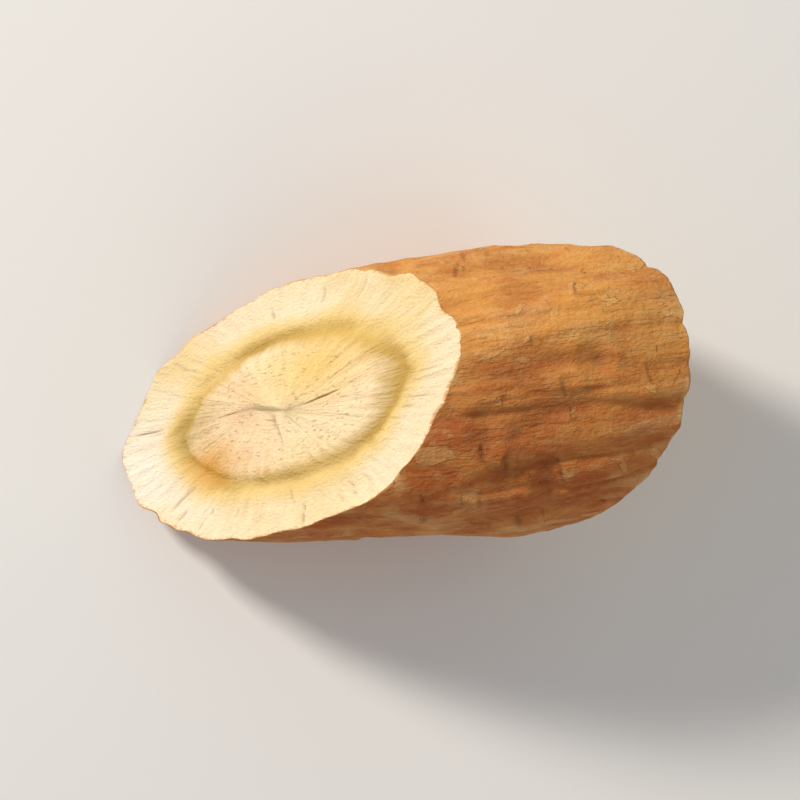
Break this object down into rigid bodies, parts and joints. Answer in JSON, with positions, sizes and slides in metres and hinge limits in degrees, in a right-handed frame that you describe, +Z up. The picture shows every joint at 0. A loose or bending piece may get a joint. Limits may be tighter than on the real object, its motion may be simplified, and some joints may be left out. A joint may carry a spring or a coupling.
{
  "type": "cut astragalus root piece",
  "caption": "Short slanting cut of a dried round root: furrowed tan bark, pale cut faces with a darker growth ring, lying on its side on a narrow flat.",
  "frame": {"origin": "middle of the bounding box at the bottom, on the surface that the piece rests on", "axes": "+X along the root from the seen cut face to the hidden one, +Y across the root, +Z up"},
  "size_m": [0.0138, 0.007, 0.0064],
  "materials": {
    "root": "dry tan bark over pale, starchy, knife-cut root"
  },
  "bodies": {
    "root": {"root_piece": "root"}
  },
  "joints": []
}
